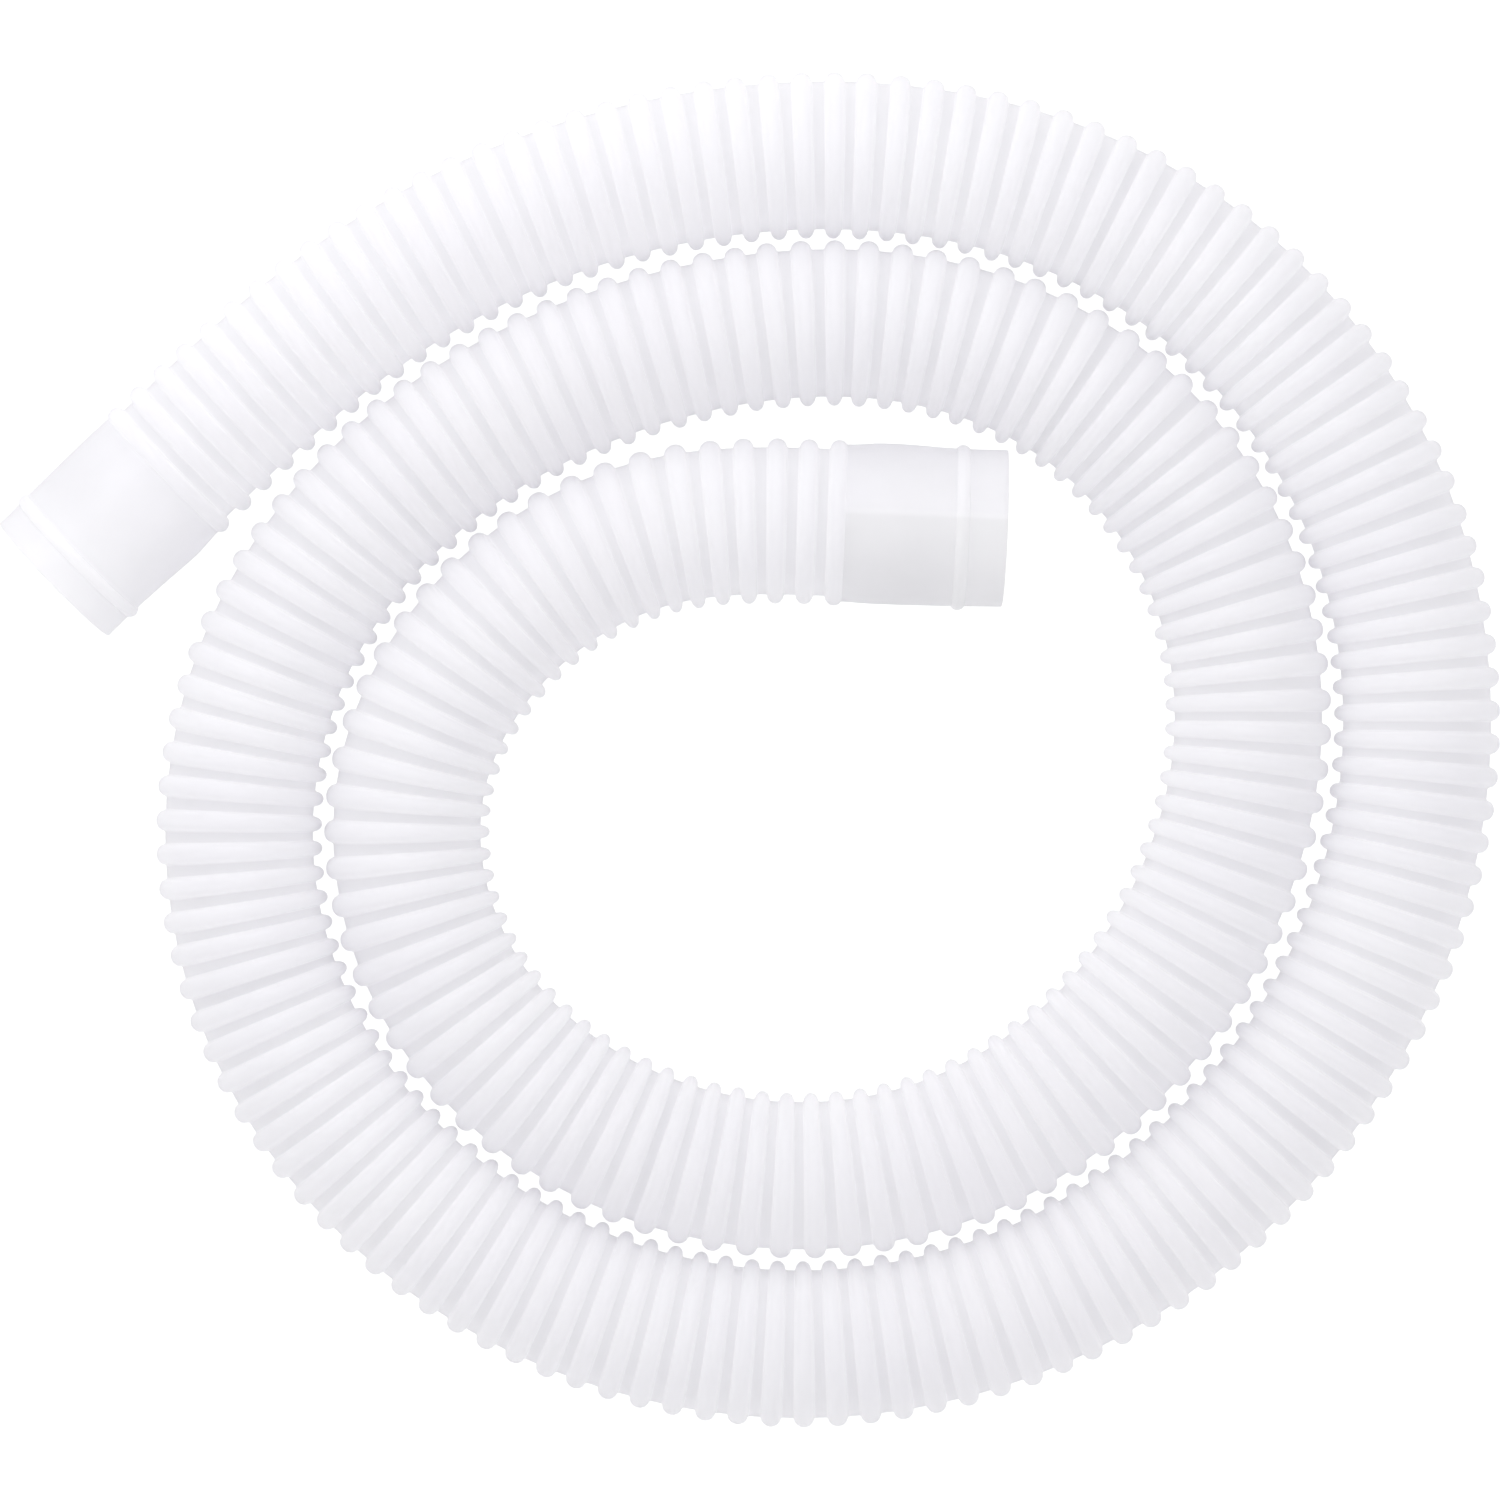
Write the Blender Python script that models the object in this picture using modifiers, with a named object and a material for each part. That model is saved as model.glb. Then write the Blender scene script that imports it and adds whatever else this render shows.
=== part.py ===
"""A corrugated vacuum hose for a pool, lying flat in a loose coil of a little over two turns.

The hose is 1.5 m long with a plain soft cuff moulded at each end. It is built as a chain of short
hose lengths that meet face to face. Three of them are bends that flex, one at each joint:
the outer turn swings away from the coil, the outer end lifts from it, and so does the inner end.
Metres, +Z up, with the origin on the floor under the middle of the coil.
"""
import math

import bpy
import numpy as np
from mathutils import Matrix, Vector

OBJECT_NAME = "vacuum_hose"

# Driving dimensions
HOSE_RADIUS = 0.01725           # over the crowns of the corrugations
HOSE_WALL = 0.0027              # from the crowns to the bore, corrugations included
CUFF_RADIUS = 0.01635
CUFF_WALL = 0.00085
OUTER_CUFF_LENGTH = 0.033
INNER_CUFF_LENGTH = 0.035
BEAD_HEIGHT = 0.0008            # of the raised ring round each cuff
BEAD_HALF_WIDTH = 0.0014
OUTER_BEAD_FROM_MOUTH = 0.0071
INNER_BEAD_FROM_MOUTH = 0.0092
GAP = 0.0003                    # left between neighbouring solids

# Where the joints are, measured along the hose from the outer cuff
OUTER_LIFT_AT = 0.097
OUTER_SWING_AT = 0.313
INNER_LIFT_AT = 1.354
BEND_HALF_LENGTH = 0.032        # the length that flexes, each side of a joint

# How the rest of the hose is divided
OUTER_TURN_PIECES = 2
COIL_PIECES = 8

# Mesh fineness
POINT_SPACING = 0.010           # between the rings of a hose length
END_STUB = 0.003                # straight first and last step of a length, for square end faces
HOSE_BEVEL_RESOLUTION = 4       # 12 sides
CUFF_STEPS = 40
BEAD_STEPS = 6
CURVE_SAMPLES = 6000
MERGE_DISTANCE = 0.00005

HOSE_COLOUR = (0.80, 0.80, 0.84, 1.0)
BEND_COLOUR = (0.76, 0.76, 0.82, 1.0)
CUFF_COLOUR = (0.72, 0.72, 0.77, 1.0)
HOSE_ROUGHNESS = 0.42
CUFF_ROUGHNESS = 0.32

# The route of the hose's centreline over the floor, from the outer cuff round to the inner one
ROUTE = [
    (-0.1210, 0.0583), (-0.0915, 0.0850), (-0.0579, 0.1066), (-0.0204, 0.1197),
    (0.0191, 0.1237), (0.0583, 0.1174), (0.0936, 0.0991), (0.1205, 0.0697),
    (0.1358, 0.0331), (0.1382, -0.0064), (0.1281, -0.0447), (0.1069, -0.0782),
    (0.0770, -0.1042), (0.0406, -0.1199), (0.0011, -0.1233), (-0.0374, -0.1140),
    (-0.0710, -0.0930), (-0.0954, -0.0618), (-0.1061, -0.0237), (-0.1004, 0.0155),
    (-0.0792, 0.0489), (-0.0473, 0.0725), (-0.0100, 0.0859), (0.0296, 0.0881),
    (0.0670, 0.0751), (0.0938, 0.0463), (0.1037, 0.0083), (0.0956, -0.0304),
    (0.0731, -0.0630), (0.0396, -0.0838), (0.0004, -0.0880), (-0.0370, -0.0750),
    (-0.0640, -0.0465), (-0.0707, -0.0081), (-0.0525, 0.0262), (-0.0188, 0.0454),
    (0.0180, 0.0473),
]


def clear_scene():
    for obj in list(bpy.data.objects):
        bpy.data.objects.remove(obj, do_unlink=True)


def make_material(name, colour, roughness):
    material = bpy.data.materials.new(name)
    material.use_nodes = True
    material.diffuse_color = colour
    shader = material.node_tree.nodes["Principled BSDF"]
    shader.inputs["Base Color"].default_value = colour
    shader.inputs["Roughness"].default_value = roughness
    shader.inputs["Metallic"].default_value = 0.0
    return material


# ---- the route as a smooth curve ----

def spline_slopes(knots, values):
    """Slopes at the knots of the natural cubic spline through the values."""
    count = len(knots)
    steps = np.diff(knots)
    matrix = np.zeros((count, count))
    right = np.zeros((count, 2))
    matrix[0, :2] = (2.0, 1.0)
    matrix[-1, -2:] = (1.0, 2.0)
    right[0] = 3.0 * (values[1] - values[0]) / steps[0]
    right[-1] = 3.0 * (values[-1] - values[-2]) / steps[-1]
    for i in range(1, count - 1):
        before, after = steps[i - 1], steps[i]
        matrix[i, i - 1:i + 2] = (after, 2.0 * (before + after), before)
        rise_before = (values[i] - values[i - 1]) / before
        rise_after = (values[i + 1] - values[i]) / after
        right[i] = 3.0 * (after * rise_before + before * rise_after)
    return np.linalg.solve(matrix, right)


class Route:
    """The centreline, read by its distance along the hose from the outer cuff."""

    def __init__(self, points):
        values = np.array(points)
        chords = np.linalg.norm(np.diff(values, axis=0), axis=1)
        knots = np.concatenate([[0.0], np.cumsum(chords)])
        slopes = spline_slopes(knots, values)
        at = np.linspace(0.0, knots[-1], CURVE_SAMPLES)
        span = np.clip(np.searchsorted(knots, at, side="right") - 1, 0, len(knots) - 2)
        step = (knots[span + 1] - knots[span])[:, None]
        u = (at - knots[span])[:, None] / step
        self.line = (
            (1 + 2 * u) * (1 - u) ** 2 * values[span]
            + u * (1 - u) ** 2 * step * slopes[span]
            + u ** 2 * (3 - 2 * u) * values[span + 1]
            + u ** 2 * (u - 1) * step * slopes[span + 1]
        )
        runs = np.linalg.norm(np.diff(self.line, axis=0), axis=1)
        self.along = np.concatenate([[0.0], np.cumsum(runs)])
        self.length = float(self.along[-1])

    def point(self, distance):
        x = float(np.interp(distance, self.along, self.line[:, 0]))
        y = float(np.interp(distance, self.along, self.line[:, 1]))
        return Vector((x, y, HOSE_RADIUS))

    def direction(self, distance):
        reach = 0.0005
        low = max(distance - reach, 0.0)
        high = min(distance + reach, self.length)
        return (self.point(high) - self.point(low)).normalized()


# ---- sub-parts ----

def hose_length(name, route, start, end, material, collection):
    """A plain pipe along the route between two distances, square at both ends."""
    start += GAP / 2
    end -= GAP / 2
    pieces = max(2, round((end - start) / POINT_SPACING))
    middle = [route.point(at) for at in np.linspace(start, end, pieces + 1)[1:-1]]
    first, last = route.point(start), route.point(end)
    second = first + route.direction(start) * END_STUB
    second_last = last - route.direction(end) * END_STUB
    points = [first, second, *middle, second_last, last]
    curve = bpy.data.curves.new(name, "CURVE")
    curve.dimensions = "3D"
    curve.twist_mode = "Z_UP"
    curve.bevel_depth = HOSE_RADIUS
    curve.bevel_resolution = HOSE_BEVEL_RESOLUTION
    curve.use_fill_caps = False
    spline = curve.splines.new("POLY")
    spline.points.add(len(points) - 1)
    for spline_point, place in zip(spline.points, points):
        spline_point.co = (*place, 1.0)
    spline.use_smooth = True
    obj = bpy.data.objects.new(name, curve)
    obj.data.materials.append(material)
    collection.objects.link(obj)
    wall = obj.modifiers.new("Wall", "SOLIDIFY")
    wall.thickness = HOSE_WALL
    wall.offset = -1.0
    wall.use_even_offset = True
    wall.use_rim = True
    return obj


def cuff_outline(length, bead_from_mouth):
    """Half-section of a cuff as (radius, height), from the mouth down the outside and back up."""
    bead_at = length - bead_from_mouth
    outside = [(CUFF_RADIUS, length)]
    for i in range(BEAD_STEPS + 1):
        angle = math.pi * i / BEAD_STEPS
        rise = BEAD_HEIGHT * math.sin(angle)
        outside.append((CUFF_RADIUS + rise, bead_at + BEAD_HALF_WIDTH * math.cos(angle)))
    outside.append((CUFF_RADIUS, GAP / 2))
    inside = [(radius - CUFF_WALL, height) for radius, height in reversed(outside)]
    return outside + inside


def make_cuff(name, length, bead_from_mouth, place, towards, material, collection):
    """A turned sleeve with one raised bead. Its local +Z runs from the hose to the mouth."""
    outline = cuff_outline(length, bead_from_mouth)
    points = [(radius, 0.0, height) for radius, height in outline]
    edges = [(i, (i + 1) % len(points)) for i in range(len(points))]
    mesh = bpy.data.meshes.new(name)
    mesh.from_pydata(points, edges, [])
    obj = bpy.data.objects.new(name, mesh)
    obj.data.materials.append(material)
    collection.objects.link(obj)
    turn = obj.modifiers.new("Turn", "SCREW")
    turn.axis = "Z"
    turn.angle = 2 * math.pi
    turn.steps = CUFF_STEPS
    turn.render_steps = CUFF_STEPS
    turn.use_merge_vertices = True
    turn.merge_threshold = MERGE_DISTANCE
    turn.use_smooth_shade = True
    obj.location = place
    obj.rotation_mode = "QUATERNION"
    obj.rotation_quaternion = towards.to_track_quat("Z", "Y")
    return obj


def make_pivot(name, place, collection):
    pivot = bpy.data.objects.new(name, None)
    pivot.location = place
    pivot.empty_display_size = HOSE_RADIUS
    collection.objects.link(pivot)
    return pivot


def hang_on(pivot, objects):
    """Parents the objects to a pivot without moving them."""
    bpy.context.view_layer.update()
    for obj in objects:
        world = obj.matrix_world.copy()
        obj.parent = pivot
        obj.matrix_parent_inverse = Matrix.Identity(4)
        obj.matrix_basis = pivot.matrix_world.inverted() @ world


# ---- the whole hose ----

def build_lengths(names, route, start, end, material, collection):
    """Equal hose lengths, one for each name, between two distances."""
    cuts = np.linspace(start, end, len(names) + 1)
    return [
        hose_length(name, route, low, high, material, collection)
        for name, low, high in zip(names, cuts[:-1], cuts[1:])
    ]


def build():
    clear_scene()
    collection = bpy.data.collections.new(OBJECT_NAME)
    bpy.context.scene.collection.children.link(collection)
    hose = make_material("hose_plastic", HOSE_COLOUR, HOSE_ROUGHNESS)
    flexing = make_material("flexing_hose_plastic", BEND_COLOUR, HOSE_ROUGHNESS)
    cuff = make_material("cuff_plastic", CUFF_COLOUR, CUFF_ROUGHNESS)
    route = Route(ROUTE)

    def bend(name, middle):
        low, high = middle - BEND_HALF_LENGTH, middle + BEND_HALF_LENGTH
        return hose_length(name, route, low, high, flexing, collection)

    outer_cuff = make_cuff(
        "outer_cuff", OUTER_CUFF_LENGTH, OUTER_BEAD_FROM_MOUTH,
        route.point(0.0), -route.direction(0.0), cuff, collection,
    )
    outer_end = hose_length(
        "outer_end_hose", route, 0.0, OUTER_LIFT_AT - BEND_HALF_LENGTH, hose, collection
    )
    outer_lift_bend = bend("outer_lift_bend", OUTER_LIFT_AT)
    outer_turn = build_lengths(
        [f"outer_turn_hose_{i + 1}" for i in range(OUTER_TURN_PIECES)], route,
        OUTER_LIFT_AT + BEND_HALF_LENGTH, OUTER_SWING_AT - BEND_HALF_LENGTH, hose, collection,
    )
    bend("outer_swing_bend", OUTER_SWING_AT)
    build_lengths(
        [f"coil_hose_{i + 1}" for i in range(COIL_PIECES)], route,
        OUTER_SWING_AT + BEND_HALF_LENGTH, INNER_LIFT_AT - BEND_HALF_LENGTH, hose, collection,
    )
    bend("inner_lift_bend", INNER_LIFT_AT)
    inner_end = hose_length(
        "inner_end_hose", route, INNER_LIFT_AT + BEND_HALF_LENGTH, route.length, hose, collection
    )
    inner_cuff = make_cuff(
        "inner_cuff", INNER_CUFF_LENGTH, INNER_BEAD_FROM_MOUTH,
        route.point(route.length), route.direction(route.length), cuff, collection,
    )

    swing = make_pivot("outer_turn_swing_pivot", route.point(OUTER_SWING_AT), collection)
    outer_lift = make_pivot("outer_end_lift_pivot", route.point(OUTER_LIFT_AT), collection)
    inner_lift = make_pivot("inner_end_lift_pivot", route.point(INNER_LIFT_AT), collection)
    hang_on(outer_lift, [outer_cuff, outer_end])
    hang_on(swing, [outer_lift, outer_lift_bend, *outer_turn])
    hang_on(inner_lift, [inner_end, inner_cuff])


build()
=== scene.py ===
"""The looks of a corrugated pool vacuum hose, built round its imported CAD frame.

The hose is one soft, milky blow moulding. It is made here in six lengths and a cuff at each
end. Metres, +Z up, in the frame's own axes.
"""
import math

import bpy
import numpy as np
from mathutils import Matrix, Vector


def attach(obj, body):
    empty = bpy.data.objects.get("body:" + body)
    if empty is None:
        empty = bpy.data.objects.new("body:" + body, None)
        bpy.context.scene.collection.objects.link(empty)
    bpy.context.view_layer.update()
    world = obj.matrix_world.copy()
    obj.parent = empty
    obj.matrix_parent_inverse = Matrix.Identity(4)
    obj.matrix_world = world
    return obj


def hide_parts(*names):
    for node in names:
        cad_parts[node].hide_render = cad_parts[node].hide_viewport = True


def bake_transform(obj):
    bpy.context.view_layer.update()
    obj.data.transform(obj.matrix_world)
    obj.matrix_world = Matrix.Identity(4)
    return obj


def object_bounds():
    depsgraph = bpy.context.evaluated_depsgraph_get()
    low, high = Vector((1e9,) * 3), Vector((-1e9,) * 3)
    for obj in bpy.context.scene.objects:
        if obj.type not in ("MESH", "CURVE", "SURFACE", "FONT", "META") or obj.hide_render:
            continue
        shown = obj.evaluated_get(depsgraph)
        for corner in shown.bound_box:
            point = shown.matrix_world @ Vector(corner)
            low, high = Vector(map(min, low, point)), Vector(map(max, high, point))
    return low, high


# The CAD source's own dimensions
HOSE_RADIUS = 0.01725           # over the crowns of the corrugations
CUFF_RADIUS = 0.01635
CUFF_WALL = 0.00085
OUTER_CUFF_LENGTH = 0.033
INNER_CUFF_LENGTH = 0.035
BEAD_HEIGHT = 0.0008
BEAD_HALF_WIDTH = 0.0014
OUTER_BEAD_FROM_MOUTH = 0.0071
INNER_BEAD_FROM_MOUTH = 0.0092
OUTER_LIFT_AT = 0.097           # joints, along the hose from the outer cuff
OUTER_SWING_AT = 0.313
INNER_LIFT_AT = 1.354

# The route of the hose's centreline over the floor, from the outer cuff round to the inner one
ROUTE = [
    (-0.1210, 0.0583), (-0.0915, 0.0850), (-0.0579, 0.1066), (-0.0204, 0.1197),
    (0.0191, 0.1237), (0.0583, 0.1174), (0.0936, 0.0991), (0.1205, 0.0697),
    (0.1358, 0.0331), (0.1382, -0.0064), (0.1281, -0.0447), (0.1069, -0.0782),
    (0.0770, -0.1042), (0.0406, -0.1199), (0.0011, -0.1233), (-0.0374, -0.1140),
    (-0.0710, -0.0930), (-0.0954, -0.0618), (-0.1061, -0.0237), (-0.1004, 0.0155),
    (-0.0792, 0.0489), (-0.0473, 0.0725), (-0.0100, 0.0859), (0.0296, 0.0881),
    (0.0670, 0.0751), (0.0938, 0.0463), (0.1037, 0.0083), (0.0956, -0.0304),
    (0.0731, -0.0630), (0.0396, -0.0838), (0.0004, -0.0880), (-0.0370, -0.0750),
    (-0.0640, -0.0465), (-0.0707, -0.0081), (-0.0525, 0.0262), (-0.0188, 0.0454),
    (0.0180, 0.0473),
]
CURVE_SAMPLES = 6000

# The corrugations
RIB_COUNT = 232
VALLEY_RADIUS = 0.0153
CROWN_HALF_WIDTH = 0.00188
FOOT_FILLET = 0.0003
WALL = 0.00075
CROWN_STEPS = 9
CROWN_INSIDE_STEPS = 5
FOOT_STEPS = 4
AROUND = 72
FOOT_PLACE = 0.4                # the foot of a crown, on a scale from mid-valley, 0, to crest, 1
SHARP_ANGLE = math.radians(60)  # the least turn that is shaded as an edge, here and on the cuffs

# The lengths that the hose is made in, each by its number of ribs
END_LENGTH_RIBS = 35
COIL_LENGTH_RIBS = (42, 43, 42)
PATH_STEP = 0.004               # between the points of a length's centreline

# The cuffs
CUFF_AROUND = 180
SLEEVE_STEPS = 20
BEAD_STEPS = 15
BEAD_CLEARANCE = 1.4 * BEAD_HALF_WIDTH
BEAD_INSIDE_NARROWER = 1 / 3    # times the wall
BEAD_FLANK_POWER = 1.5          # over 1 lets the bead's flanks run out into the sleeve
LIP_ROUND = 0.0002
LIP_STEPS = 4
PAST_BEAD_STEPS = 7
CUFF_SETTLES = 0.006            # how far from its root a cuff reaches its full waviness

# Where the ribs lie, in pitches past an even spacing, against the share of the length: the hose is
# drawn out a little behind its outer cuff
RIB_DRIFT = ((0.0, 0.0), (0.04, 0.25), (0.11, 0.50), (0.22, 0.68), (0.39, 0.48), (0.60, 0.10),
             (0.80, 0.0), (0.92, -0.15), (1.0, 0.0))

# How far the moulding strays from a perfect one
SEED = 7
RIB_SHIFT = 0.00006
RIB_SHRINK = 0.00005
RIB_LEAN = 0.00009              # at the crown
CUFF_WAVE = 0.00012
CUFF_WAVES = 6
CUFF_WAVE_LOBES = (2, 5)        # round the cuff, up to but not with the second
CUFF_WAVE_RATES = (40, 220)     # along the cuff, in radians to a metre
OUTER_CUFF_SEED = 3
INNER_CUFF_SEED = 5
SEAM_HEIGHT = 0.0001            # of a cuff's mould seam
SEAM_HALF_ANGLE = math.radians(2.2)
OUTER_SEAM_AT = math.radians(170)
INNER_SEAM_AT = math.radians(83)

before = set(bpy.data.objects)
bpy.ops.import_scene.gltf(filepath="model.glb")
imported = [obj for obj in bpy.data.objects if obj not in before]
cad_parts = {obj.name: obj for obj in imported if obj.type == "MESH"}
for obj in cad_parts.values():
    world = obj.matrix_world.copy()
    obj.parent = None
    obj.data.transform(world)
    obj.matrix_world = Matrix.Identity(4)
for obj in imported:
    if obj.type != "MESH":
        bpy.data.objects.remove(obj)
cad_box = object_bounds()


# ---- the route as a smooth curve ----

def spline_slopes(knots, values):
    """Slopes at the knots of the natural cubic spline through the values."""
    count = len(knots)
    steps = np.diff(knots)
    matrix = np.zeros((count, count))
    right = np.zeros((count, 2))
    matrix[0, :2] = (2.0, 1.0)
    matrix[-1, -2:] = (1.0, 2.0)
    right[0] = 3.0 * (values[1] - values[0]) / steps[0]
    right[-1] = 3.0 * (values[-1] - values[-2]) / steps[-1]
    for i in range(1, count - 1):
        before, after = steps[i - 1], steps[i]
        matrix[i, i - 1:i + 2] = (after, 2.0 * (before + after), before)
        rise_before = (values[i] - values[i - 1]) / before
        rise_after = (values[i + 1] - values[i]) / after
        right[i] = 3.0 * (after * rise_before + before * rise_after)
    return np.linalg.solve(matrix, right)


class Route:
    """The centreline, read by its distance along the hose from the outer cuff."""

    def __init__(self, points):
        values = np.array(points)
        chords = np.linalg.norm(np.diff(values, axis=0), axis=1)
        knots = np.concatenate([[0.0], np.cumsum(chords)])
        slopes = spline_slopes(knots, values)
        at = np.linspace(0.0, knots[-1], CURVE_SAMPLES)
        span = np.clip(np.searchsorted(knots, at, side="right") - 1, 0, len(knots) - 2)
        step = (knots[span + 1] - knots[span])[:, None]
        u = (at - knots[span])[:, None] / step
        self.line = (
            (1 + 2 * u) * (1 - u) ** 2 * values[span]
            + u * (1 - u) ** 2 * step * slopes[span]
            + u ** 2 * (3 - 2 * u) * values[span + 1]
            + u ** 2 * (u - 1) * step * slopes[span + 1]
        )
        runs = np.linalg.norm(np.diff(self.line, axis=0), axis=1)
        self.along = np.concatenate([[0.0], np.cumsum(runs)])
        self.length = float(self.along[-1])
        heading = np.gradient(self.line, self.along, axis=0)
        self.heading = heading / np.linalg.norm(heading, axis=1)[:, None]

    def points(self, distances):
        """Centres at these distances. Past the ends the line runs on straight."""
        inside = np.clip(distances, 0.0, self.length)
        past = np.asarray(distances) - inside
        flat = [np.interp(inside, self.along, self.line[:, k]) for k in range(2)]
        ahead = self.directions(distances)
        return np.stack(
            [flat[0] + past * ahead[..., 0], flat[1] + past * ahead[..., 1],
             np.full_like(flat[0], HOSE_RADIUS)], axis=-1,
        )

    def directions(self, distances):
        inside = np.clip(distances, 0.0, self.length)
        flat = [np.interp(inside, self.along, self.heading[:, k]) for k in range(2)]
        ahead = np.stack([*flat, np.zeros_like(flat[0])], axis=-1)
        return ahead / np.linalg.norm(ahead, axis=-1, keepdims=True)

    def point(self, distance):
        return Vector(self.points(np.array(distance)))

    def direction(self, distance):
        return Vector(self.directions(np.array(distance)))


route = Route(ROUTE)


# ---- corrugated lengths, swept along the route ----

def rib_side(inset, beside_cuff):
    """The foot of a rib as (distance from its middle, radius), and the turn from upright at which
    its crown starts there. A fillet leads up from the valley, and a cuff's wall meets the crown."""
    height = HOSE_RADIUS - VALLEY_RADIUS - inset
    if beside_cuff:
        return [], math.acos((CUFF_RADIUS - inset - VALLEY_RADIUS) / height)
    reach = FOOT_FILLET + inset
    fillet = [
        (-CROWN_HALF_WIDTH - FOOT_FILLET + reach * math.sin(turn),
         VALLEY_RADIUS + FOOT_FILLET - reach * math.cos(turn))
        for turn in np.linspace(0.0, math.pi / 2, FOOT_STEPS)[:-1]
    ]
    return fillet, math.acos(FOOT_FILLET / height)


def rib_outline(inset, rib):
    """A rib's outside, or its inside with an inset, from foot to foot."""
    near, near_turn = rib_side(inset, rib == 0)
    far, far_turn = rib_side(inset, rib == RIB_COUNT - 1)
    steps = CROWN_INSIDE_STEPS if inset else CROWN_STEPS
    crown = [
        ((CROWN_HALF_WIDTH - inset) * math.sin(turn),
         VALLEY_RADIUS + (HOSE_RADIUS - VALLEY_RADIUS - inset) * math.cos(turn))
        for turn in np.linspace(-near_turn, far_turn, steps)
    ]
    return near + crown + [(-offset, radius) for offset, radius in reversed(far)]


PITCH = route.length / (RIB_COUNT - 1)
rng = np.random.default_rng(SEED)
strays = np.ones(RIB_COUNT)
strays[[0, -1]] = 0.0           # the ribs that the cuffs meet are true
rib_shift = rng.normal(0.0, RIB_SHIFT, RIB_COUNT) * strays
rib_shrink = np.abs(rng.normal(0.0, RIB_SHRINK, RIB_COUNT)) * strays
rib_lean = rng.normal(0.0, RIB_LEAN, RIB_COUNT) * strays
rib_leans_towards = rng.uniform(0.0, 2 * math.pi, RIB_COUNT)
rib_drift = np.interp(np.linspace(0.0, 1.0, RIB_COUNT), *zip(*RIB_DRIFT))
rib_at = (np.arange(RIB_COUNT) + rib_drift) * PITCH
valley_at = (rib_at[1:] + rib_at[:-1]) / 2
angles = np.arange(AROUND) / AROUND * 2 * math.pi


def corrugated_rings(first, last, inset):
    """A length's outside, or its inside with an inset, as the distances along the hose and the
    radii, both (rings, around), and each ring's place on its rib: 0 in the middle of the valley,
    FOOT_PLACE at the crown's foot and 1 on its crest."""
    full = HOSE_RADIUS - VALLEY_RADIUS
    valley_half_width = PITCH / 2 - CROWN_HALF_WIDTH
    distances, radii, places = [], [], []

    def valley(number):
        distances.append(np.full(AROUND, valley_at[number]))
        radii.append(np.full(AROUND, VALLEY_RADIUS - inset))
        places.append(0.0)

    if first > 0:
        valley(first - 1)
    for rib in range(first, last):
        lean = rib_lean[rib] * np.cos(angles - rib_leans_towards[rib])
        for offset, radius in rib_outline(inset, rib):
            height = max(0.0, radius + inset - VALLEY_RADIUS) / full
            before_foot = max(0.0, abs(offset) - CROWN_HALF_WIDTH) / valley_half_width
            distances.append(rib_at[rib] + rib_shift[rib] + lean + offset)
            radii.append(np.full(AROUND, radius - rib_shrink[rib] * height))
            places.append(FOOT_PLACE * (1 - before_foot) + (1 - FOOT_PLACE) * height)
        if rib < RIB_COUNT - 1:
            valley(rib)
    return np.array(distances), np.array(radii), places


def swept(distances, radii):
    """The points at these distances along the route and these radii round it."""
    centre = route.points(distances)
    ahead = route.directions(distances)
    side = np.stack([-ahead[..., 1], ahead[..., 0], np.zeros_like(ahead[..., 0])], axis=-1)
    up = np.array([0.0, 0.0, 1.0])
    out = np.cos(angles)[None, :, None] * side + np.sin(angles)[None, :, None] * up
    return centre + radii[..., None] * out


def tube(name, outside, inside, material):
    """A hollow tube between two grids of points, both (rings, around, 3) and from the same end. Its
    wall is closed at both ends."""
    around = outside.shape[1]
    points = np.concatenate([outside.reshape(-1, 3), inside[::-1].reshape(-1, 3)])
    rings = len(points) // around
    here = np.arange(rings)[:, None] * around
    onward = (here + around) % (rings * around)
    column = np.arange(around)[None, :]
    beside = (column + 1) % around
    quads = np.stack([here + column, here + beside, onward + beside, onward + column], axis=-1)
    mesh = bpy.data.meshes.new(name)
    mesh.from_pydata(points.tolist(), [], quads.reshape(-1, 4).tolist())
    mesh.shade_smooth()
    mesh.set_sharp_from_angle(angle=SHARP_ANGLE)
    mesh.materials.append(material)
    obj = bpy.data.objects.new(name, mesh)
    bpy.context.scene.collection.objects.link(obj)
    return obj


def point_values(obj, name, values):
    """Gives each point of the mesh a value that a material can read."""
    layer = obj.data.attributes.new(name, "FLOAT", "POINT")
    layer.data.foreach_set("value", np.asarray(values, dtype=np.float32))


def hose_length(name, first, last, material):
    """The hose over the ribs from first up to but not with last, and its centreline. Its points
    keep their place on the rib as rib_place and how far up they face, from -1 to 1, as upward."""
    out_at, out_radii, out_places = corrugated_rings(first, last, 0.0)
    in_at, in_radii, in_places = corrugated_rings(first, last, WALL)
    obj = tube(name, swept(out_at, out_radii), swept(in_at, in_radii), material)
    point_values(obj, "rib_place", np.repeat(out_places + in_places[::-1], AROUND))
    point_values(obj, "upward", np.tile(np.sin(angles), len(out_places) + len(in_places)))
    start, end = float(out_at[0].mean()), float(out_at[-1].mean())
    line = route.points(np.linspace(start, end, round((end - start) / PATH_STEP) + 1))
    return obj, line


# ---- cuffs ----

# A cuff starts where its wall meets the crown of the hose's last rib
CUFF_FROM = CROWN_HALF_WIDTH * math.sin(
    math.acos((CUFF_RADIUS - VALLEY_RADIUS) / (HOSE_RADIUS - VALLEY_RADIUS))
)


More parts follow.
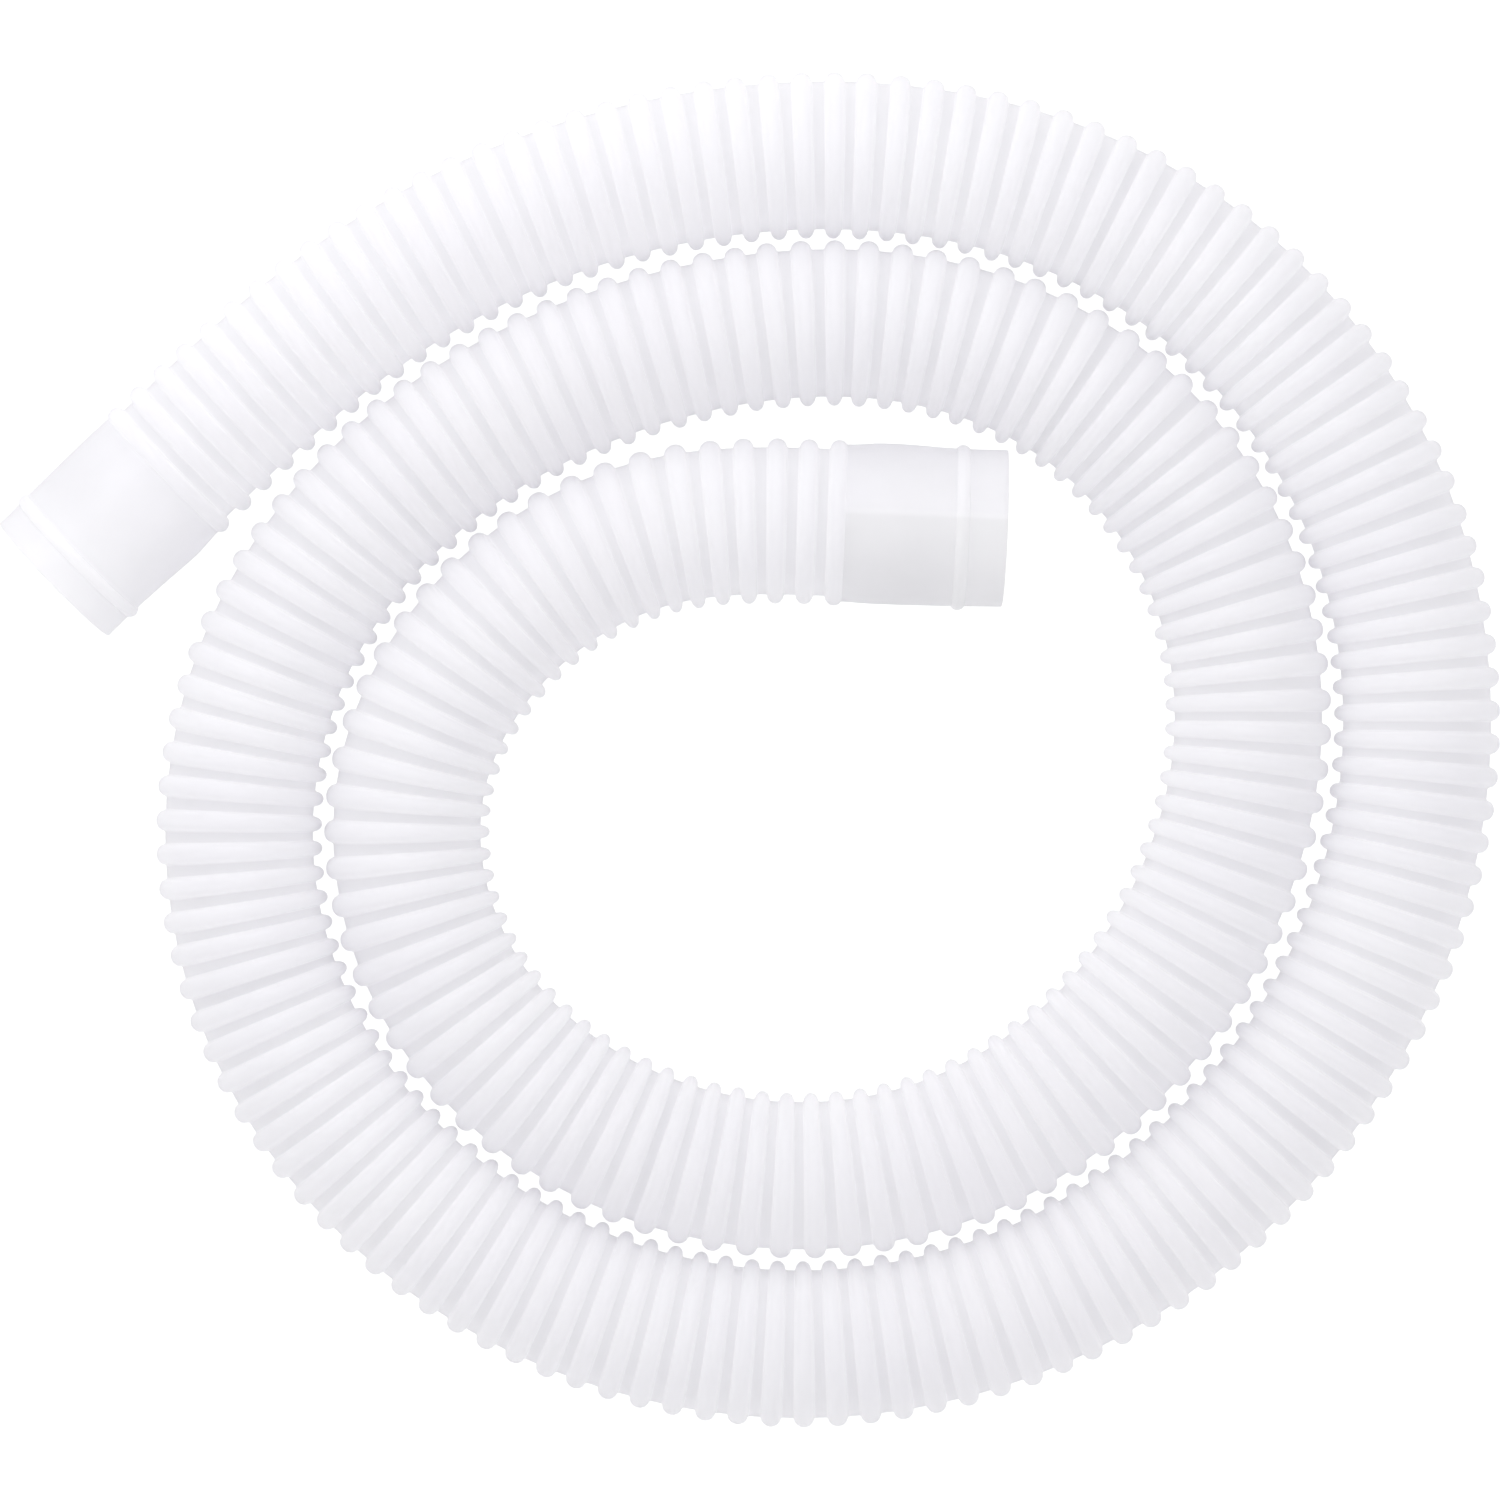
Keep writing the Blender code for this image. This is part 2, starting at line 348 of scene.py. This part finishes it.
def cuff_outline(length, bead_from_mouth, inset):
    """A cuff's outside, or its inside with an inset, as (height towards the mouth, radius)."""
    bead_at = length - bead_from_mouth
    radius = CUFF_RADIUS - inset
    half_width = BEAD_HALF_WIDTH - inset * BEAD_INSIDE_NARROWER
    bead = [
        (bead_at - half_width * math.cos(turn),
         radius + BEAD_HEIGHT * math.sin(turn) ** BEAD_FLANK_POWER)
        for turn in np.linspace(0.0, math.pi, BEAD_STEPS)
    ]
    before = np.linspace(CUFF_FROM, bead_at - BEAD_CLEARANCE, SLEEVE_STEPS)
    after = np.linspace(bead_at + BEAD_CLEARANCE, length - LIP_ROUND, PAST_BEAD_STEPS)
    return [(height, radius) for height in before] + bead + [(height, radius) for height in after]


def cuff(name, length, bead_from_mouth, place, towards, seed, seam_at, material):
    """A soft sleeve with one raised bead, a cut mouth and a mould seam along both sides. Its local
    +Z runs to the mouth and its +Y up, and seam_at is one seam's turn about +Z from +X. Its points
    keep, as raised, how far they are raised, 1 on the bead's crest, as half, the half of the mould
    that made them, 0 before seam_at, 1 past it and 0.5 on a seam, and upward, as a hose length's
    do."""
    outside = cuff_outline(length, bead_from_mouth, 0.0) + [
        (length - LIP_ROUND * (1 - math.sin(turn)), CUFF_RADIUS - LIP_ROUND * (1 - math.cos(turn)))
        for turn in np.linspace(0.0, math.pi / 2, LIP_STEPS)[1:]
    ]
    inside = cuff_outline(length, bead_from_mouth, CUFF_WALL) + [(length, CUFF_RADIUS - CUFF_WALL)]
    draw = np.random.default_rng(seed)
    waves = [
        (draw.integers(*CUFF_WAVE_LOBES), draw.uniform(*CUFF_WAVE_RATES),
         draw.uniform(0, 2 * math.pi))
        for _ in range(CUFF_WAVES)
    ]
    turn = np.arange(CUFF_AROUND) / CUFF_AROUND * 2 * math.pi
    off_seam = np.clip(np.sin(turn - seam_at) / math.sin(SEAM_HALF_ANGLE), -1.0, 1.0)

    def grid(outline):
        """The outline turned about +Z, with the waves and seams, kept within the ribs' radius."""
        heights, radii = (np.array(column)[:, None] for column in zip(*outline))
        ripple = sum(
            np.cos(lobes * turn + start) * np.sin(heights * rate + start)
            for lobes, rate, start in waves
        )
        settled = np.clip((heights - CUFF_FROM) / CUFF_SETTLES, 0.0, 1.0)
        seam = SEAM_HEIGHT * (1 - np.abs(off_seam)) * settled
        radii = np.minimum(radii + CUFF_WAVE * ripple * settled + seam, HOSE_RADIUS)
        return np.stack(
            [radii * np.cos(turn), radii * np.sin(turn), heights + 0.0 * turn], axis=-1
        )

    obj = tube(name, grid(outside), grid(inside), material)
    raised = [(radius - CUFF_RADIUS) / BEAD_HEIGHT for _, radius in outside]
    raised += [(radius + CUFF_WALL - CUFF_RADIUS) / BEAD_HEIGHT for _, radius in reversed(inside)]
    point_values(obj, "raised", np.repeat(raised, CUFF_AROUND))
    point_values(obj, "half", np.tile((1 + off_seam) / 2, len(outside) + len(inside)))
    point_values(obj, "upward", np.tile(np.sin(turn), len(outside) + len(inside)))
    obj.location = place
    obj.rotation_mode = "QUATERNION"
    obj.rotation_quaternion = towards.to_track_quat("Z", "Y")
    return obj


# ---- materials ----

PLASTIC_IOR = 1.49
SHOWS_THROUGH = 0.75            # the share of light that a surface of the thin milky wall passes on
HOSE_ROUGHNESS = (0.17, 0.25)
CUFF_ROUGHNESS = (0.13, 0.22)
WHITE = (1.0, 1.0, 1.0)
# The painted shade on the sides and underside of the hose
PAINTED_SHADE_BELOW = (0.988, 0.988, 0.988)

# The colours of the valleys, of the flanks and of the crests of the ribs: painted shade in the
# valleys and a painted highlight on the flanks, with less painted contrast on the shoulders
SHOULDER_PAINTED_SHADING = ((0.963, 0.961, 0.968), (0.997, 0.996, 1.000), (0.968, 0.966, 0.974))
OTHER_PAINTED_SHADING = ((0.918, 0.916, 0.926), (0.990, 0.989, 0.994), (0.943, 0.940, 0.952))
HOSE_CLOUD = (0.990, 0.989, 0.993)

# The colours of the cuffs
CUFF_CLOUDS = ((0.955, 0.953, 0.961), (0.982, 0.980, 0.987))
# The sleeve beside the bead, greyer than the bead, which is painted white as a highlight
BESIDE_BEAD_HIGHLIGHT = (0.976, 0.976, 0.978)
# One half of each cuff's mould painted greyer as shade than the other
CUFF_HALF_PAINTED_SHADES = ((0.988, 0.987, 0.991), (0.962, 0.963, 0.961))

# A Mix node's sockets for colours, among those for other kinds of data
MIX_FACTOR, MIX_FIRST, MIX_SECOND, MIX_RESULT = 0, 6, 7, 2


class Plastic:
    """A thin, milky soft plastic. Its methods make the nodes that vary it."""

    def __init__(self, name, roughness):
        self.material = bpy.data.materials.new(name)
        self.material.use_nodes = True
        self.nodes = self.material.node_tree.nodes
        self.links = self.material.node_tree.links
        self.shader = self.nodes["Principled BSDF"]
        self.shader.inputs["IOR"].default_value = PLASTIC_IOR
        self.through = self.nodes.new("ShaderNodeBsdfTranslucent")
        mix = self.nodes.new("ShaderNodeMixShader")
        mix.inputs["Fac"].default_value = SHOWS_THROUGH
        self.links.new(self.shader.outputs["BSDF"], mix.inputs[1])
        self.links.new(self.through.outputs["BSDF"], mix.inputs[2])
        self.links.new(mix.outputs["Shader"], self.nodes["Material Output"].inputs["Surface"])
        self.place = self.nodes.new("ShaderNodeTexCoord").outputs["Object"]
        self.roughness(*roughness)

    def attribute(self, name):
        """A value that the mesh's points carry."""
        node = self.nodes.new("ShaderNodeAttribute")
        node.attribute_name = name
        return node.outputs["Fac"]

    def noise(self, scale, detail, stretch=(1.0, 1.0, 1.0)):
        """Noise in the object's own space."""
        mapping = self.nodes.new("ShaderNodeMapping")
        mapping.inputs["Scale"].default_value = stretch
        self.links.new(self.place, mapping.inputs["Vector"])
        node = self.nodes.new("ShaderNodeTexNoise")
        node.inputs["Scale"].default_value = scale
        node.inputs["Detail"].default_value = detail
        self.links.new(mapping.outputs["Vector"], node.inputs["Vector"])
        return node.outputs["Fac"]

    def ramp(self, value, *stops):
        """A colour for a value, from (position, colour) stops."""
        node = self.nodes.new("ShaderNodeValToRGB")
        elements = node.color_ramp.elements
        while len(elements) < len(stops):
            elements.new(0.5)
        for element, (position, colour) in zip(elements, stops):
            element.position = position
            element.color = (*colour, 1.0)
        self.links.new(value, node.inputs["Fac"])
        return node.outputs["Color"]

    def mix(self, first, second):
        """A node that mixes two colours."""
        node = self.nodes.new("ShaderNodeMix")
        node.data_type = "RGBA"
        self.links.new(first, node.inputs[MIX_FIRST])
        self.links.new(second, node.inputs[MIX_SECOND])
        return node

    def times(self, first, second):
        """The product of two colours."""
        node = self.mix(first, second)
        node.blend_type = "MULTIPLY"
        node.inputs[MIX_FACTOR].default_value = 1.0
        return node.outputs[MIX_RESULT]

    def on_shoulders(self, there, elsewhere):
        """The first colour on the shoulders, between the sides and the top, fading into the second,
        which has half a share on the sides and underside."""
        none, half, whole = (0.0, 0.0, 0.0), (0.5, 0.5, 0.5), (1.0, 1.0, 1.0)
        share = self.ramp(self.attribute("upward"), (0.15, half), (0.45, none), (0.97, whole))
        node = self.mix(there, elsewhere)
        self.links.new(share, node.inputs[MIX_FACTOR])
        return node.outputs[MIX_RESULT]

    def painted_shade_below(self):
        """A tint by how far up a point faces: the sides and the underside are painted a little
        greyer, as shade.
        """
        return self.ramp(self.attribute("upward"), (0.10, PAINTED_SHADE_BELOW), (0.30, WHITE))

    def colour(self, output):
        """Sets the colour of what the plastic scatters and of what it passes on."""
        self.links.new(output, self.shader.inputs["Base Color"])
        self.links.new(output, self.through.inputs["Color"])

    def roughness(self, low, high):
        """Uneven gloss, from the middle range of a noise."""
        node = self.nodes.new("ShaderNodeMapRange")
        node.inputs["From Min"].default_value = 0.3
        node.inputs["From Max"].default_value = 0.7
        node.inputs["To Min"].default_value = low
        node.inputs["To Max"].default_value = high
        self.links.new(self.noise(180.0, 3.0), node.inputs["Value"])
        self.links.new(node.outputs["Result"], self.shader.inputs["Roughness"])

    def bumps(self, *layers):
        """Fine relief, from (height, depth in metres) layers."""
        normal = None
        for height, depth in layers:
            node = self.nodes.new("ShaderNodeBump")
            node.inputs["Distance"].default_value = depth
            self.links.new(height, node.inputs["Height"])
            if normal is not None:
                self.links.new(normal, node.inputs["Normal"])
            normal = node.outputs["Normal"]
        self.links.new(normal, self.shader.inputs["Normal"])


def rib_painted_shading(plastic, valley, flank, crest):
    """The painted shade and highlight across a rib, as colours from the middle of the valley to the
    crest.
    """
    return plastic.ramp(
        plastic.attribute("rib_place"),
        (0.00, valley), (0.27, valley), (0.38, flank), (0.68, flank), (0.90, crest),
    )


def hose_plastic():
    """Grey valleys as painted shade and white flanks as a painted highlight, which differ less on
    the shoulders, with the sides and underside painted a little greyer as shade, under faint
    clouds, with soft unevenness and a fine grain."""
    plastic = Plastic("hose_plastic", HOSE_ROUGHNESS)
    # Painted shade in the valleys and a painted highlight on the flanks of the ribs
    ribs = plastic.on_shoulders(
        rib_painted_shading(plastic, *SHOULDER_PAINTED_SHADING), rib_painted_shading(plastic, *OTHER_PAINTED_SHADING)
    )
    cloud = plastic.ramp(plastic.noise(36.0, 3.0), (0.30, HOSE_CLOUD), (0.70, WHITE))
    # With the sides and underside painted a little greyer as shade
    plastic.colour(plastic.times(plastic.times(ribs, cloud), plastic.painted_shade_below()))
    plastic.bumps((plastic.noise(260.0, 2.0), 0.00004), (plastic.noise(1500.0, 3.0), 0.00001))
    return plastic.material


def cuff_plastic():
    """Clouded, painted whiter on the bead as a highlight and on the seams as a glint, and painted a
    little greyer as shade in one half of the mould than in the other, with fine lines drawn along
    it."""
    plastic = Plastic("cuff_plastic", CUFF_ROUGHNESS)
    cloud = plastic.ramp(plastic.noise(60.0, 3.0), (0.30, CUFF_CLOUDS[0]), (0.70, CUFF_CLOUDS[1]))
    # One half of the mould painted greyer as shade, and the seams painted white as a glint
    half = plastic.ramp(
        plastic.attribute("half"),
        (0.00, CUFF_HALF_PAINTED_SHADES[0]), (0.30, WHITE), (0.70, WHITE), (1.00, CUFF_HALF_PAINTED_SHADES[1]),
    )
    # The bead painted white as a highlight over a greyer sleeve
    bead = plastic.ramp(plastic.attribute("raised"), (0.05, BESIDE_BEAD_HIGHLIGHT), (0.40, WHITE))
    drawn = plastic.noise(900.0, 3.0, (1.0, 1.0, 0.03))
    plastic.colour(plastic.times(plastic.times(cloud, bead), half))
    plastic.bumps((drawn, 0.00003), (plastic.noise(300.0, 2.0), 0.00005))
    return plastic.material


# ---- the hose ----

HOSE, CUFF = hose_plastic(), cuff_plastic()

outer_cuff = cuff(
    "outer_cuff_sleeve", OUTER_CUFF_LENGTH, OUTER_BEAD_FROM_MOUTH,
    route.point(0.0), -route.direction(0.0), OUTER_CUFF_SEED, OUTER_SEAM_AT, CUFF,
)
inner_cuff = cuff(
    "inner_cuff_sleeve", INNER_CUFF_LENGTH, INNER_BEAD_FROM_MOUTH,
    route.point(route.length), route.direction(route.length), INNER_CUFF_SEED, INNER_SEAM_AT, CUFF,
)
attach(outer_cuff, "outer_end")
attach(inner_cuff, "inner_end")
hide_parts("outer_cuff")
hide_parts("inner_cuff")

# Each length's name, number of ribs, bodies, joint place, cuffs and the CAD nodes it stands for
LENGTHS = [
    ("hose_outer_end", END_LENGTH_RIBS, ("outer_end", "outer_turn"), OUTER_LIFT_AT, [outer_cuff],
     ("outer_end_hose", "outer_lift_bend", "outer_turn_hose_1")),
    ("hose_outer_turn", END_LENGTH_RIBS, ("outer_turn", "coil"), OUTER_SWING_AT, [],
     ("outer_turn_hose_2", "outer_swing_bend", "coil_hose_1")),
    ("hose_coil_1", COIL_LENGTH_RIBS[0], ("coil",), None, [], ("coil_hose_2", "coil_hose_3")),
    ("hose_coil_2", COIL_LENGTH_RIBS[1], ("coil",), None, [], ("coil_hose_4", "coil_hose_5")),
    ("hose_coil_3", COIL_LENGTH_RIBS[2], ("coil",), None, [], ("coil_hose_6", "coil_hose_7")),
    ("hose_inner_end", END_LENGTH_RIBS, ("coil", "inner_end"), INNER_LIFT_AT, [inner_cuff],
     ("coil_hose_8", "inner_lift_bend", "inner_end_hose")),
]
first_rib = 0
for name, ribs, bodies, joint_at, cuffs, nodes in LENGTHS:
    hose, line = hose_length(name, first_rib, first_rib + ribs, HOSE)
    first_rib += ribs
    if joint_at is None:
        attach(hose, *bodies)
    else:
        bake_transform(hose)
    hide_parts(*nodes)


# ---- floor, light and camera ----

FLOOR_SIZE = 12.0
FLOOR_DROP = 0.00005            # below the hose
FLOOR_COLOUR = (0.12, 0.12, 0.12, 1.0)
FLOOR_GLOW = 0.98
CEILING_LIGHT = 1.32
HORIZON_LIGHT = 0.56
SOFTBOX_RADIANCE = 1.5
SOFTBOX_SIZE = (0.5, 0.75)
SOFTBOX_DISTANCE = 0.6
SOFTBOX_TILT = math.radians(48)
SOFTBOX_SIDE = -0.35
LENS, SENSOR = 135.0, 36.0


def make_floor():
    """A pale matt floor that glows slightly."""
    bpy.ops.mesh.primitive_plane_add(size=FLOOR_SIZE, location=(0, 0, -FLOOR_DROP))
    floor = bpy.context.object
    floor.name = "floor"
    material = bpy.data.materials.new("white_floor")
    material.use_nodes = True
    shader = material.node_tree.nodes["Principled BSDF"]
    shader.inputs["Base Color"].default_value = FLOOR_COLOUR
    shader.inputs["Roughness"].default_value = 0.9
    shader.inputs["Specular IOR Level"].default_value = 0.1
    shader.inputs["Emission Color"].default_value = (1, 1, 1, 1)
    shader.inputs["Emission Strength"].default_value = FLOOR_GLOW
    floor.data.materials.append(material)


def make_softbox():
    """One soft light close over the far left of the hose."""
    data = bpy.data.lights.new("softbox", "AREA")
    data.shape = "RECTANGLE"
    data.size, data.size_y = SOFTBOX_SIZE
    data.energy = SOFTBOX_RADIANCE * math.pi * SOFTBOX_SIZE[0] * SOFTBOX_SIZE[1]
    towards = Vector((SOFTBOX_SIDE, math.sin(SOFTBOX_TILT), math.cos(SOFTBOX_TILT)))
    place = SOFTBOX_DISTANCE * towards
    light = bpy.data.objects.new("softbox", data)
    light.location = place
    light.rotation_mode = "QUATERNION"
    light.rotation_quaternion = (-place).to_track_quat("-Z", "Y")
    light.visible_camera = False
    bpy.context.scene.collection.objects.link(light)


def make_room():
    """Soft white light from all round, strongest from overhead."""
    world = bpy.data.worlds.new("studio")
    world.use_nodes = True
    nodes, links = world.node_tree.nodes, world.node_tree.links
    split = nodes.new("ShaderNodeSeparateXYZ")
    links.new(nodes.new("ShaderNodeTexCoord").outputs["Generated"], split.inputs["Vector"])
    height = nodes.new("ShaderNodeMapRange")
    height.inputs["To Min"].default_value = HORIZON_LIGHT
    height.inputs["To Max"].default_value = CEILING_LIGHT
    links.new(split.outputs["Z"], height.inputs["Value"])
    background = nodes["Background"]
    background.inputs["Color"].default_value = (1, 1, 1, 1)
    links.new(height.outputs["Result"], background.inputs["Strength"])
    bpy.context.scene.world = world


def make_camera():
    """Straight above the hose, as wide as the CAD box at the height of the hose's middle."""
    low, high = cad_box
    data = bpy.data.cameras.new("camera")
    data.lens, data.sensor_width = LENS, SENSOR
    distance = (high.x - low.x) * LENS / SENSOR
    camera = bpy.data.objects.new("camera", data)
    camera.location = ((low.x + high.x) / 2, 0.0, HOSE_RADIUS + distance)
    bpy.context.scene.collection.objects.link(camera)
    bpy.context.scene.camera = camera


make_floor()
make_softbox()
make_room()
make_camera()
scene = bpy.context.scene
scene.view_settings.view_transform = "Standard"
scene.cycles.max_bounces = 24
scene.cycles.diffuse_bounces = 16
